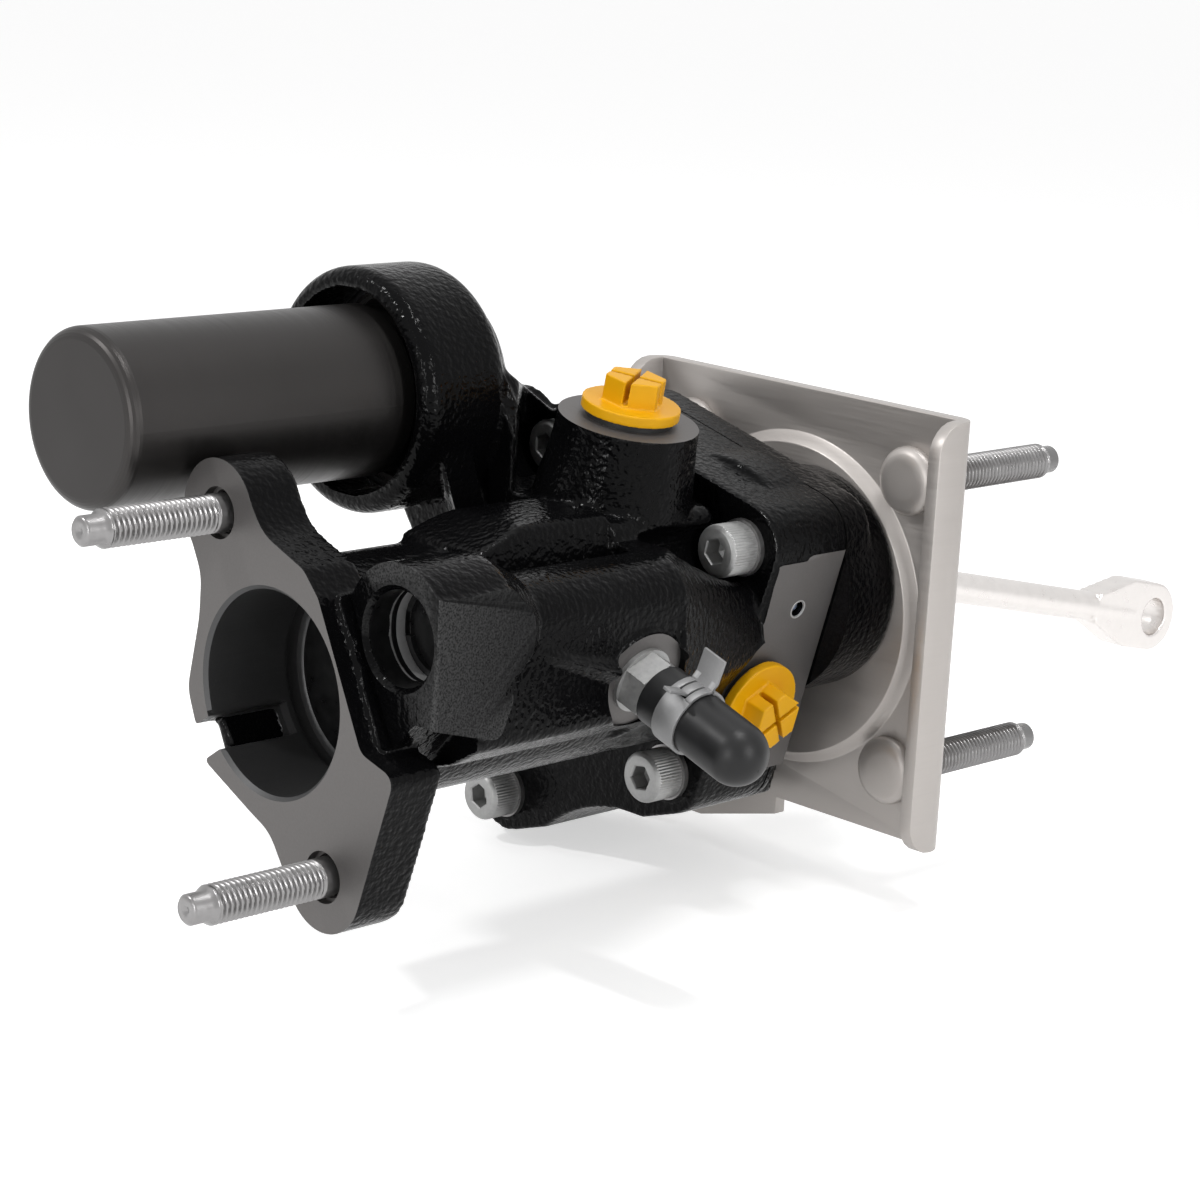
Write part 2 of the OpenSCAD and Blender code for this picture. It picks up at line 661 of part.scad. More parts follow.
// Shipping plugs: thread, flange and a six-sided head with crossed slots
plug_gap = 1.8;
plug_flange_t = 2.9;
plug_head_h = 7;
module port_plug() {
  color("gold") difference() {
    union() {
      translate([0, 0, -10]) cylinder(h = 10 + plug_gap + eps, r = port_r);
      translate([0, 0, plug_gap]) cylinder(h = plug_flange_t, r = plug_flange_r);
      translate([0, 0, plug_gap + plug_flange_t - eps]) cylinder(h = plug_head_h, r = plug_head_d/2, $fn = 6);
    }
    for (a = [0, 90]) rotate([0, 0, a + 30])
      translate([-plug_head_d, -0.7, plug_gap + plug_flange_t + 0.8]) cube([2*plug_head_d, 1.4, plug_head_h]);
    translate([0, 0, -11]) cylinder(h = 9, r = port_r - 2);
  }
}
module plug_seal() {
  color("#202020") difference() {
    cylinder(h = plug_gap, r = plug_flange_r - 1.6);
    translate([0, 0, -1]) cylinder(h = plug_gap + 2, r = port_r);
  }
}
module top_port_plug() top_port() port_plug();
module top_plug_seal() top_port() plug_seal();
module side_port_plug() side_port(side_plug_at) translate([0, 0, pad_k]) port_plug();
module side_plug_seal() side_port(side_plug_at) translate([0, 0, pad_k]) plug_seal();

// Return fitting, its rubber cap and the spring clamp on the cap
fit_face = fitting_k;
hex_h = 8;
tube_r = cap_r - 2.4;
tube_l = 24;
module return_fitting() {
  color("lightslategray") side_port(fitting_at, fitting_tilt) translate([0, 0, fit_face]) difference() {
    union() {
      translate([0, 0, -9]) cylinder(h = 9 + eps, r = 5);
      cylinder(h = 1.2, r = 8.9);
      cylinder(h = hex_h, r = 8.7, $fn = 6);
      cylinder(h = hex_h + tube_l, r = tube_r);
    }
    translate([0, 0, -10]) cylinder(h = hex_h + tube_l + 11, r = 2.6);
  }
}
module rubber_cap() {
  color("#151515") side_port(fitting_at, fitting_tilt) translate([0, 0, fit_face + hex_h]) difference() {
    union() {
      cylinder(h = cap_len - cap_r, r = cap_r);
      translate([0, 0, cap_len - cap_r]) sphere(cap_r);
    }
    translate([0, 0, -1]) cylinder(h = tube_l + 1, r = tube_r);
  }
}
clamp_at = 6.5;
clamp_w = 7.5;
clamp_t = 0.9;
module spring_clamp() {
  color("silver") side_port(fitting_at, fitting_tilt) translate([0, 0, fit_face + hex_h + clamp_at]) {
    difference() {
      cylinder(h = clamp_w, r = cap_r + clamp_t);
      translate([0, 0, -1]) cylinder(h = clamp_w + 2, r = cap_r);
      translate([-cap_r - 5, -2.6, clamp_w/2]) cube([10, 5.2, clamp_w]);
    }
    // Two ears that pliers squeeze
    for (s = [-1, 1]) rotate([0, 0, 180 + s*20])
      translate([cap_r, -clamp_t/2, s < 0 ? 0 : clamp_w/2]) cube([8.5, clamp_t, clamp_w/2]);
  }
}
module ball_plug() {
  color("slategray") side_port(ball_plug_at)
    translate([0, 0, pad_k - ball_plug_sink - ball_plug_r]) sphere(ball_plug_r);
}

// Valve: plug, seal, snap ring, spool, spring, lever and pin
plug_seal_y = valve_floor_y - 5;
plug_seal_w = 2.6;
module valve_plug() {
  y0 = valve_ring_y + valve_ring_t;
  color("#2a2a2b") at_xz([valve_x, valve_z]) difference() {
    union() {
      rod_y(y0, valve_floor_y, valve_mouth_r - 0.02);
      rod_y(valve_floor_y - eps, valve_floor_y + 6, valve_r - 0.02);
    }
    rod_y(y0 - 1, y0 + 4, 2.5);
    difference() {
      rod_y(plug_seal_y, plug_seal_y + plug_seal_w, valve_mouth_r + 1);
      rod_y(plug_seal_y - 1, plug_seal_y + plug_seal_w + 1, valve_mouth_r - 2);
    }
  }
}
module valve_plug_seal() {
  color("#202020") at_xz([valve_x, valve_z]) difference() {
    rod_y(plug_seal_y, plug_seal_y + plug_seal_w, valve_mouth_r);
    rod_y(plug_seal_y - 1, plug_seal_y + plug_seal_w + 1, valve_mouth_r - 2);
  }
}
module valve_snap_ring() {
  y0 = valve_ring_y;
  color("gray") at_xz([valve_x, valve_z]) difference() {
    rod_y(y0, y0 + valve_ring_t, valve_mouth_r + 1.15);
    rod_y(y0 - 1, y0 + valve_ring_t + 1, valve_mouth_r - 1.6);
    translate([-20, y0 - 1, -3]) cube([20, valve_ring_t + 2, 6]);
  }
}
tang = 1.6;
module valve_spool() {
  lands = [[spool_front_y, 8], [spool_front_y + 14, 8], [spool_front_y + 28, 8]];
  color("silver") at_xz([valve_x, valve_z]) difference() {
    union() {
      for (l = lands) rod_y(l[0], l[0] + l[1], spool_land_r);
      rod_y(spool_front_y + 1, valve_end_y - 0.5, spool_neck_r);
    }
    // Flats that the lever's fork holds
    for (s = [-1, 1]) rotate([0, -lever_angle, 0])
      translate([-8, lever_y - lever_tip_r - 0.3, s > 0 ? tang : -6 - tang]) cube([16, 2*lever_tip_r + 0.6, 6]);
  }
}
module valve_spring() {
  color("darkgray") at_xz([valve_x, valve_z])
    coil(valve_floor_y + 6, spool_front_y, valve_r - 1.8, 0.7, 4);
}
module valve_lever() {
  color("gray") rotate([0, -lever_angle, 0]) difference() {
    translate([0, 0, -lever_w/2]) linear_extrude(lever_w)
      polygon(concat(arc([valve_dist, lever_y], lever_tip_r, 180 - tip_side, 2*tip_side - 360),
                     [[valve_dist - 6, lever_y - lever_tip_r*sin(tip_side)]],
                     arc([lever_pivot, lever_y], 3.6, -70, -40, 4),
                     arc([stem_r + 3, lever_y], 2, -100, -160),
                     arc([lever_pivot, lever_y], 3.6, 110, -40, 4),
                     [[valve_dist - 6, lever_y + lever_tip_r*sin(tip_side)]]));
    translate([lever_pivot, lever_y, -10]) cylinder(h = 20, r = pin_r + run);
    translate([valve_dist - 7, lever_y - 4, -tang - 0.3]) cube([14, 8, 2*tang + 0.6]);
  }
}
module lever_pin() {
  color("silver") rotate([0, -lever_angle, 0])
    translate([lever_pivot, lever_y, -lever_pin_l/2]) cylinder(h = lever_pin_l, r = pin_r);
}

// Power piston, its seal, the output rod, the return spring and its seat
module power_piston() {
  r = bore_r - run;
  color("silver") difference() {
    union() {
      rod_y(land_front_y, land_back_y, r);
      rod_y(land_back_y - eps, piston_back_y, stem_r);
    }
    rod_y(land_front_y - 1, spring_pocket_y, spring_pocket_r);
    difference() {
      rod_y(land_front_y + 8, land_front_y + 8 + seal_w, r + 1);
      rod_y(land_front_y + 7, land_front_y + 9 + seal_w, r - seal_d);
    }
    rod_y(ball_y, piston_back_y + 1, socket_r);
    translate([0, ball_y, 0]) sphere(socket_r);
    rod_y(piston_back_y - 3, piston_back_y - 1, socket_r + 1.4);
  }
}
module piston_seal() {
  r = bore_r - run;
  color("#202020") difference() {
    rod_y(land_front_y + 8, land_front_y + 8 + seal_w, r);
    rod_y(land_front_y + 7, land_front_y + 9 + seal_w, r - seal_d);
  }
}
out_tip_y = register_end_y - 1.8;
module output_rod() {
  color("silver") {
    rod_y(spring_pocket_y - 3, spring_pocket_y, out_rod_r + 3);
    rod_y(out_tip_y + 2, spring_pocket_y - 3 + eps, out_rod_r);
    rod_y(out_tip_y, out_tip_y + 2 + eps, out_rod_r, out_rod_r - 1.5);
  }
}
module return_spring() {
  color("darkgray")
    coil(register_end_y + ring_groove_w, spring_pocket_y, spring_r, spring_wire_r, spring_turns);
}
module spring_seat() {
  color("gray") difference() {
    rod_y(register_end_y, register_end_y + ring_groove_w, register_d/2 - 1.6);
    rod_y(register_end_y - 1, register_end_y + ring_groove_w + 1, out_rod_r + 2.5);
  }
}
module stem_seal() {
  color("#202020") difference() {
    rod_y(hub_y - 8, hub_y - 8 + seal_w, stem_r + seal_d);
    rod_y(hub_y - 9, hub_y - 7 + seal_w, stem_r + run);
  }
}

// Bellows from the snout to the rod
module rod_boot() {
  color("#202020") turned() {
    y0 = snout_y - 4;
    folds = 4;
    step = 4.8;
    fall = 1.85;
    y1 = y0 + 4 + folds*step;
    outer = [for (i = [0:2*folds]) [(i % 2 == 0 ? 22 : 25) - i*fall, y0 + 4 + i*step/2]];
    inner = [for (i = [2*folds:-1:1]) [(i % 2 == 0 ? 20.5 : 23.5) - i*fall, y0 + 4 + i*step/2]];
    polygon(concat([[snout_r, y0], [22.2, y0]], outer, [[7.2, y1 + 4], [rod_d/2 + 0.1, y1 + 4],
      [rod_d/2 + 0.1, y1 + 0.6]], inner, [[snout_r - 1.5, snout_y + 0.8], [snout_r - 1.5, snout_y], [snout_r, snout_y]]));
  }
}

// Pedal rod: ball, straight part in the piston, bend, drooping part and forged eye
bend_y = 39;
eye_r = 10.9;
module pedal_rod() {
  color("#d8d4d0") difference() {
    union() {
      translate([0, ball_y, 0]) sphere(ball_r);
      rod_y(ball_y, bend_y, rod_d/2);
      translate([0, bend_y, 0]) {
        sphere(rod_d/2);
        rotate([-rod_droop, 0, 0]) {
          rod_y(0, rod_len - 10, rod_d/2);
          // Flat forged eye
          rotate([0, 90, 0]) translate([0, 0, -eye_t/2]) linear_extrude(eye_t) {
            translate([0, rod_len]) circle(eye_r);
            polygon(rounded([[-rod_d/2, rod_len - 31, 0], [-eye_r, rod_len - 14, 12], [-eye_r, rod_len, 0],
                             [eye_r, rod_len, 0], [eye_r, rod_len - 14, 12], [rod_d/2, rod_len - 31, 0]]));
          }
        }
      }
    }
    translate([0, bend_y, 0]) rotate([-rod_droop, 0, 0]) translate([0, rod_len, 0])
      rotate([0, 90, 0]) cylinder(h = 40, r = eye_d/2, center = true);
  }
}
// Split ring that keeps the ball in the piston
module rod_retainer() {
  color("gray") difference() {
    rod_y(piston_back_y - 3, piston_back_y - 1, socket_r + 1.4);
    rod_y(piston_back_y - 4, piston_back_y, rod_d/2 + 1.3);
    translate([0, piston_back_y - 4, -2]) cube([12, 4, 4]);
  }
}

bracket();
firewall_studs();
front_housing();
rear_housing();
housing_screws();
screw_washers();
hub_nut();
joint_gasket();
master_cylinder_studs();
accumulator_can();
accumulator_seal();
accumulator_snap_ring();
accumulator_piston();
accumulator_piston_seal();
top_port_plug();
top_plug_seal();
side_port_plug();
side_plug_seal();
return_fitting();
rubber_cap();
spring_clamp();
ball_plug();
valve_plug();
valve_plug_seal();
valve_snap_ring();
valve_spool();
valve_spring();
valve_lever();
lever_pin();
power_piston();
piston_seal();
output_rod();
return_spring();
spring_seat();
stem_seal();
rod_boot();
pedal_rod();
rod_retainer();
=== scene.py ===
import math
import random

import bmesh
import bpy
from mathutils import Matrix, Vector


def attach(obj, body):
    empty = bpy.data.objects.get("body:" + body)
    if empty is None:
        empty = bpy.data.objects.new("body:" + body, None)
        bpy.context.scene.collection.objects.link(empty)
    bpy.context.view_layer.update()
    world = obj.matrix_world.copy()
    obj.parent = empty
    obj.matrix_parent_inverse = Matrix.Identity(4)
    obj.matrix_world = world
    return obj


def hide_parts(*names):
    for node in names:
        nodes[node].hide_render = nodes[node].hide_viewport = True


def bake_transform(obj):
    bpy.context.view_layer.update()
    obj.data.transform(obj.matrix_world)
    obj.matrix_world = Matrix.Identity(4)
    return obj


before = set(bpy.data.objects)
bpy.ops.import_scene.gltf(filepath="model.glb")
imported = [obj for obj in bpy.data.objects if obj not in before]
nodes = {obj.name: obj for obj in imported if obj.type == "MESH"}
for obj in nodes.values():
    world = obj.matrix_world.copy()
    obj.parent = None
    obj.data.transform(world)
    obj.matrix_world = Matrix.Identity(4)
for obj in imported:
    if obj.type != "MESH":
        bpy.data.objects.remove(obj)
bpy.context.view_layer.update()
rng = random.Random(7)
mm = 0.001


# A shader socket with arithmetic
class Wire:
    def __init__(self, tree, socket):
        self.tree = tree
        self.socket = socket

    def node(self, kind, settings=None, sockets=None, out=0):
        made = self.tree.nodes.new(kind)
        for key, value in (settings or {}).items():
            setattr(made, key, value)
        for key, value in (sockets or {}).items():
            plug(self.tree, made.inputs[key], value)
        return Wire(self.tree, made.outputs[out])

    def math(self, operation, other):
        return self.node("ShaderNodeMath", {"operation": operation}, {0: self, 1: other})

    def __add__(self, other):
        return self.math("ADD", other)

    def __mul__(self, other):
        return self.math("MULTIPLY", other)

    def __rsub__(self, other):
        return (self * -1.0) + other

    __radd__ = __add__
    __rmul__ = __mul__

    def scaled(self, vector):
        return self.node("ShaderNodeVectorMath", {"operation": "MULTIPLY"}, {0: self, 1: vector})

    def noise(self, scale, detail=2.0, rough=0.5):
        return self.node("ShaderNodeTexNoise", None,
                         {"Vector": self, "Scale": scale, "Detail": detail, "Roughness": rough})

    def ramp(self, low, high, fromLow, fromHigh):
        return self.node("ShaderNodeMapRange", {"clamp": True},
                         {"Value": self, "From Min": fromLow, "From Max": fromHigh, "To Min": low, "To Max": high})

    # Most of a noise lies between 0.3 and 0.7
    def spread(self, low, high):
        return self.ramp(low, high, 0.3, 0.7)

    def blend(self, dark, light):
        return self.node("ShaderNodeMix", {"data_type": "RGBA"}, {0: self, 6: (*dark, 1), 7: (*light, 1)}, 2)

    def bump(self, strength, distance=0.0002, below=None):
        sockets = {"Height": self, "Strength": strength, "Distance": distance}
        if below is not None:
            sockets["Normal"] = below
        return self.node("ShaderNodeBump", None, sockets)


def plug(tree, socket, value):
    if isinstance(value, Wire):
        tree.links.new(value.socket, socket)
    else:
        socket.default_value = value


def material(name, look, **fixed):
    made = bpy.data.materials.new(name)
    made.use_nodes = True
    tree = made.node_tree
    shader = tree.nodes["Principled BSDF"]
    for key, value in fixed.items():
        shader.inputs[key.replace("_", " ")].default_value = value
    place = Wire(tree, tree.nodes.new("ShaderNodeTexCoord").outputs["Object"])
    for key, value in look(place).items():
        plug(tree, shader.inputs[key], value)
    return made


# Gloss paint over a pebbled casting: bumps about a millimetre wide with a finer grain on them,
# and a thicker, glossier coat where an edge stands out
castPaint = {"dark": (0.0014, 0.0014, 0.0016), "light": (0.0030, 0.0030, 0.0033), "smooth": 0.11, "rough": 0.19,
             "pebbles": 640.0, "pebbleBump": 0.33, "grain": 1900.0, "grainBump": 0.08, "cloud": 45.0,
             "edgeFrom": 0.515, "edgeTo": 0.58, "edgeCoat": 0.75}


def castLook(place):
    p = castPaint
    pebbles = place.noise(p["pebbles"], 1.0, 0.4)
    grain = place.noise(p["grain"], 1.0)
    cloud = place.noise(p["cloud"], 3.0)
    edge = place.node("ShaderNodeNewGeometry", out="Pointiness")
    return {
        "Coat Weight": edge.ramp(0.0, p["edgeCoat"], p["edgeFrom"], p["edgeTo"]) * grain.ramp(0.2, 1.0, 0.35, 0.6),
        "Base Color": cloud.blend(p["dark"], p["light"]),
        "Roughness": (grain * 0.06) + cloud.spread(p["smooth"], p["rough"]),
        "Normal": grain.bump(p["grainBump"], 0.0003, pebbles.spread(0.0, 1.0).bump(p["pebbleBump"], 0.0005)),
    }


# Face turned or milled, then left bare: a fine sand grain in a dull neutral grey
machinedFace = {"grain": 1500.0, "grainBump": 0.16, "cloud": 30.0, "cloudShare": 0.6, "smooth": 0.46, "rough": 0.56}


def machinedLook(dark, light):
    def look(place):
        m = machinedFace
        grain = place.noise(m["grain"], 3.0, 0.6)
        cloud = place.noise(m["cloud"])
        share = m["cloudShare"]
        return {
            "Base Color": ((cloud * share) + (grain * (1 - share))).blend(dark, light),
            "Roughness": cloud.spread(m["smooth"], m["rough"]),
            "Normal": grain.bump(m["grainBump"]),
        }
    return look


# Sheet brushed along one way
brushedSheet = {"dark": (0.36, 0.335, 0.318), "light": (0.49, 0.46, 0.438), "smooth": 0.36, "rough": 0.50,
                "streaks": (45.0, 45.0, 1700.0), "cloud": 14.0, "cloudShare": 0.6}


def brushedLook(place):
    b = brushedSheet
    streaks = place.scaled(b["streaks"]).noise(1.0, 3.0)
    cloud = place.noise(b["cloud"])
    share = b["cloudShare"]
    return {
        "Base Color": ((cloud * share) + (streaks * (1 - share))).blend(b["dark"], b["light"]),
        "Roughness": streaks.spread(b["smooth"], b["rough"]),
        "Normal": streaks.bump(0.05),
    }


zincCoat = {"cloud": 260.0, "grain": 1200.0, "smooth": 0.26, "rough": 0.40}


def zincLook(dark, light):
    def look(place):
        cloud = place.noise(zincCoat["cloud"], 3.0)
        return {
            "Base Color": cloud.blend(dark, light),
            "Roughness": cloud.spread(zincCoat["smooth"], zincCoat["rough"]),
            "Normal": place.noise(zincCoat["grain"]).bump(0.05),
        }
    return look


# Grey phosphate on the screws and the nuts
phosphate = {"dark": (0.27, 0.27, 0.268), "light": (0.40, 0.40, 0.396), "cloud": 900.0, "smooth": 0.36, "rough": 0.50}


def phosphateLook(place):
    cloud = place.noise(phosphate["cloud"])
    return {
        "Base Color": cloud.blend(phosphate["dark"], phosphate["light"]),
        "Roughness": cloud.spread(phosphate["smooth"], phosphate["rough"]),
        "Normal": cloud.bump(0.12),
    }


# Satin can with faint turning rings across its axis
satinCan = {"dark": (0.034, 0.032, 0.031), "light": (0.047, 0.044, 0.043), "smooth": 0.34, "rough": 0.44,
            "rings": (40.0, 2600.0, 40.0), "cloud": 22.0}


def canLook(place):
    rings = place.scaled(satinCan["rings"]).noise(1.0)
    cloud = place.noise(satinCan["cloud"])
    return {
        "Base Color": cloud.blend(satinCan["dark"], satinCan["light"]),
        "Roughness": rings.spread(satinCan["smooth"], satinCan["rough"]),
        "Normal": rings.bump(0.05),
    }


moulded = {"cloud": 140.0, "grain": 900.0, "rougher": 0.08}


def plasticLook(dark, light, smooth):
    def look(place):
        cloud = place.noise(moulded["cloud"])
        return {
            "Base Color": cloud.blend(dark, light),
            "Roughness": cloud.spread(smooth, smooth + moulded["rougher"]),
            "Normal": place.noise(moulded["grain"], 1.0).bump(0.04),
        }
    return look


mats = {
    "cast": material("castPaint", castLook, Specular_IOR_Level=0.07, Coat_Roughness=0.12),
    "machined": material("machinedFace", machinedLook((0.098, 0.093, 0.091), (0.150, 0.143, 0.140)), Metallic=0.75),
    "bore": material("boreMetal", machinedLook((0.06, 0.06, 0.061), (0.095, 0.095, 0.096)), Metallic=0.8),
    # Lands: bare machined metal, lighter than the other machined faces as a painted reflection of the light their
    # edges catch
    "land": material("boreLandSheen", machinedLook((0.30, 0.30, 0.30), (0.42, 0.42, 0.42)), Metallic=0.4),
    "bracket": material("brushedSteel", brushedLook, Metallic=0.6),
    "zinc": material("zincSteel", zincLook((0.20, 0.195, 0.195), (0.31, 0.305, 0.305)), Metallic=0.9),
    "screw": material("phosphateSteel", phosphateLook, Metallic=0.7),
    "can": material("canSatin", canLook, Metallic=0.85),
    "yellow": material("yellowPlastic", plasticLook((0.63, 0.305, 0.0), (0.71, 0.36, 0.001), 0.38),
                       Specular_IOR_Level=0.22),
    "rubber": material("blackRubber", plasticLook((0.0045, 0.0045, 0.005), (0.009, 0.009, 0.0095), 0.36),
                       Specular_IOR_Level=0.3),
    "seal": material("sealRubber", plasticLook((0.008, 0.008, 0.008), (0.014, 0.014, 0.014), 0.42)),
    "clamp": material("springSteel", machinedLook((0.20, 0.20, 0.202), (0.28, 0.28, 0.282)), Metallic=0.5),
    "rod": material("rodZinc", zincLook((0.66, 0.63, 0.61), (0.78, 0.75, 0.73)), Metallic=1.0),
    "steel": material("plainSteel", zincLook((0.34, 0.34, 0.34), (0.44, 0.44, 0.44)), Metallic=1.0),
    "dark": material("blackOxide", zincLook((0.030, 0.030, 0.031), (0.052, 0.052, 0.053)), Metallic=0.9),
    # The blue steel ball is lighter than its own tone: painted light, as it sits sunk in its hole
    "ball": material("blueSteel", zincLook((0.16, 0.19, 0.27), (0.22, 0.26, 0.35)), Metallic=0.7),
    "gasket": material("fibre", plasticLook((0.03, 0.03, 0.03), (0.045, 0.045, 0.045), 0.6)),
}
print("materials made")


# Mesh helpers: sizes are in millimetres, and the meshes in metres
def meshObject(name, verts, faces, parts):
    mesh = bpy.data.meshes.new(name)
    mesh.from_pydata([tuple(c * mm for c in v) for v in verts], [], faces)
    mesh.validate()
    made = bpy.data.objects.new(name, mesh)
    bpy.context.scene.collection.objects.link(made)
    for part in parts:
        mesh.materials.append(part)
    return made


def shade(obj, angle=35.0):
    mesh = obj.data
    mesh.polygons.foreach_set("use_smooth", [True] * len(mesh.polygons))
    mesh.set_sharp_from_angle(angle=math.radians(angle))
    mesh.update()


# A solid turned about local Z, from rows of radius and height that rise. A radius may follow the angle
def turned(name, rows, part, segments, at):
    verts = []
    faces = []
    for radius, height in rows:
        for i in range(segments):
            a = 2 * math.pi * i / segments
            r = radius(a) if callable(radius) else radius
            verts.append((r * math.cos(a), r * math.sin(a), height))
    for j in range(len(rows) - 1):
        for i in range(segments):
            k = (i + 1) % segments
            faces.append((j * segments + i, j * segments + k, (j + 1) * segments + k, (j + 1) * segments + i))
    faces.append(tuple(reversed(range(segments))))
    top = (len(rows) - 1) * segments
    faces.append(tuple(range(top, top + segments)))
    made = meshObject(name, verts, faces, [part])
    made.matrix_world = at
    return made


def roundCutter(rows, at, segments=96):
    return turned("cutter", rows, None, segments, at)


# A closed block from the corners of one face and the way from each to the opposite face
def block(corners, ways, at=None):
    n = len(corners)
    verts = list(corners) + [tuple(a + b for a, b in zip(c, w)) for c, w in zip(corners, ways)]
    faces = [tuple(reversed(range(n))), tuple(range(n, 2 * n))]
    faces += [(i, (i + 1) % n, n + (i + 1) % n, n + i) for i in range(n)]
    made = meshObject("cutter", verts, faces, [])
    shape = bmesh.new()
    shape.from_mesh(made.data)
    bmesh.ops.recalc_face_normals(shape, faces=shape.faces)
    shape.to_mesh(made.data)
    shape.free()
    if at is not None:
        made.matrix_world = at
    return made


# A block with an outline of its own and the same way from every corner
def prism(outline, way, at=None):
    return block(outline, [way] * len(outline), at)


def boxCutter(low, high, at=None):
    foot = [(x, y, low[2]) for x, y in ((low[0], low[1]), (high[0], low[1]), (high[0], high[1]), (low[0], high[1]))]
    return prism(foot, (0, 0, high[2] - low[2]), at)


def facing(point, direction):
    z = Vector(direction).normalized()
    x = Vector((0, 0, 1)).cross(z)
    if x.length < 1e-6:
        x = Vector((1, 0, 0))
    x.normalize()
    y = z.cross(x)
    spin = Matrix((x, y, z)).transposed().to_4x4()
    return Matrix.Translation(Vector(point) * mm) @ spin


def alongY(x, z):
    return facing((x, 0, z), (0, 1, 0))


def applied(obj):
    graph = bpy.context.evaluated_depsgraph_get()
    mesh = bpy.data.meshes.new_from_object(obj.evaluated_get(graph))
    old = obj.data
    obj.modifiers.clear()
    obj.data = mesh
    bpy.data.meshes.remove(old)
    return obj


def cut(obj, cutter, operation="DIFFERENCE"):
    change = obj.modifiers.new("cut", "BOOLEAN")
    change.operation = operation
    change.solver = "MANIFOLD"
    change.object = cutter
    applied(obj)
    bpy.data.objects.remove(cutter)
    return obj


def copyOf(node, name):
    mesh = nodes[node].data.copy()
    mesh.materials.clear()
    shape = bmesh.new()
    shape.from_mesh(mesh)
    bmesh.ops.remove_doubles(shape, verts=shape.verts, dist=2e-7)
    shape.to_mesh(mesh)
    shape.free()
    made = bpy.data.objects.new(name, mesh)
    bpy.context.scene.collection.objects.link(made)
    return made


# The casting skin: remeshed and relaxed, so that every inside and outside corner is rounded
def soften(obj, voxel, passes):
    fine = obj.modifiers.new("skin", "REMESH")
    fine.mode = "VOXEL"
    fine.voxel_size = voxel * mm
    relax = obj.modifiers.new("relax", "SMOOTH")
    relax.iterations = passes
    relax.factor = 0.5
    return applied(obj)


# Moves the points of one flat face along its normal
def pushPlane(obj, normal, level, shift, keep=None):
    n = Vector(normal).normalized()
    near = 0.03
    for v in obj.data.vertices:
        if abs(v.co.dot(n) - level * mm) < near * mm and (keep is None or keep(v.co / mm)):
            v.co += n * shift * mm


def bevelled(obj, width, segments=2, angle=30):
    edge = obj.modifiers.new("edge", "BEVEL")
    edge.width = width * mm
    edge.segments = segments
    edge.limit_method = "ANGLE"
    edge.angle_limit = math.radians(angle)
    return applied(obj)


# One finish all over
def dress(obj, part):
    obj.data.materials.clear()
    obj.data.materials.append(mats[part])


# The first finish all over, and another where the first rule that holds says so
def paintFaces(obj, finishes, rules):
    obj.data.materials.clear()
    for part in finishes:
        obj.data.materials.append(mats[part])
    for face in obj.data.polygons:
        c = face.center / mm
        n = face.normal
        for part, rule in rules:
            if rule(c, n):
                face.material_index = finishes.index(part)
                break


def seat(obj, body, slotName, *replaced):
    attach(obj, body)
    if replaced:
        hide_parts(*replaced)


# Directions of the ports
portTilt = math.radians(15)
fittingTilt = math.radians(18)
padNormal = Vector((math.cos(portTilt), 0, -math.sin(portTilt)))
fittingNormal = Vector((math.cos(fittingTilt), 0, -math.sin(fittingTilt)))
bossTilt = math.radians(10)
bossAxis = Vector((math.sin(bossTilt), 0, math.cos(bossTilt)))
bossAt = Vector((5, -78, 58.6))


# A point beside the casting: its distance out along the tilted normal, its Y and its height along the face
def onSide(k, y, up, tilt=portTilt):
    return Vector((k * math.cos(tilt) + up * math.sin(tilt), y, up * math.cos(tilt) - k * math.sin(tilt)))


def facingSide(k, y, up, tilt=portTilt):
    return facing(onSide(k, y, up, tilt), (math.cos(tilt), 0, -math.sin(tilt)))


# Front housing: levels of its machined faces, then places on the tilted sides as [Y, height along the face]
front = {"voxel": 0.75, "passes": 6,
         "flange": -191.2, "joint": -26.6, "mouthFace": -182.5, "cheek": 50.6, "pad": 31.2, "fitting": 42.1,
         "fittingAt": (-109, 15.6), "sidePlugAt": (-49, -9.7), "ballAt": (-39.5, 16.9),
         "register": 25.6, "valve": (36.2, 20.3), "mouth": 11.75, "can": (-55, 60), "drainTurn": 145}
screwAt = [(26.5, 25.5), (4.2, -42.2), (-60, -64), (-58, -12), (-40, 42.3)]
studRing = {"radius": 46.35, "turn": math.radians(28.6)}
studAt = [(s * studRing["radius"] * math.sin(studRing["turn"]), -s * studRing["radius"] * math.cos(studRing["turn"]))
          for s in (-1, 1)]
casting = copyOf("front_housing", "frontCasting")

# The web between cup and body slopes down from the cup, and leaves the fifth screw's head in view.
# Both cuts stay clear of the top boss and of the back of the cup
web = {"slope": [(-39.1, -94.5, 73.8), (-5, -94.5, 59.6), (-46, -55, 49.4), (-82.5, -55, 64.3)],
       "slopeRise": 60,
       "beside": [(-49, -65.5, 36.5), (-14.5, -100, 36.5), (10, -100, 36.5), (10, -65.5, 36.5)],
       "besideRise": 70,
       "bossClear": [(24.4, -45), (18.8, 0), (18.8, 40)],
       "cupClear": [(34, -130), (34, -97), (29.5, -93.8), (26.4, -90.4), (16, -83.4)]}
for corners, rise in ((web["slope"], web["slopeRise"]), (web["beside"], web["besideRise"])):
    space = prism(corners, (0, 0, rise))
    cut(space, roundCutter(web["bossClear"], facing(bossAt, bossAxis)))
    cut(space, roundCutter(web["cupClear"], alongY(*front["can"])))
    cut(casting, space)

# Hollow under both housings, between the second and the third screw
underside = {"centre": (-8.8, -109.8), "rows": [(52, -70), (52, 0)]}
cut(casting, roundCutter(underside["rows"], alongY(*underside["centre"])))

